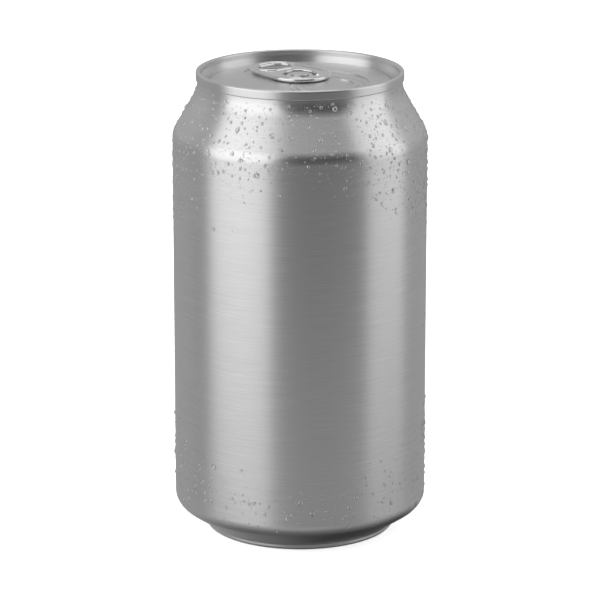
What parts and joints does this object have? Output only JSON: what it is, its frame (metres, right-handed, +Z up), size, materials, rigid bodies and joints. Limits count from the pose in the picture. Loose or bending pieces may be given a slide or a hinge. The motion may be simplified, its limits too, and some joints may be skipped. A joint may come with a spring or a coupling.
{
  "type": "soda can",
  "caption": "Sealed bare aluminium drinks can with a domed base, tapered shoulder, double-seamed end, scored mouth and riveted pull tab.",
  "frame": {"origin": "centre of the ring that the can stands on, at the level of the surface under it", "axes": "+Z up along the can's axis; the front faces -Y, and the tab's nose and the mouth point 52 degrees from +X towards -Y"},
  "size_m": [0.066, 0.066, 0.1223],
  "materials": {
    "brushed_wall": "bare drawn aluminium with a fine brushed grain round the can",
    "end_sheet": "satin rolled aluminium sheet",
    "tab_metal": "bright satin aluminium with polished curls",
    "water": "clear beads of condensed water"
  },
  "bodies": {
    "root": {"can_body": "brushed_wall", "lid": "end_sheet", "pull_tab": "tab_metal"}
  },
  "joints": []
}
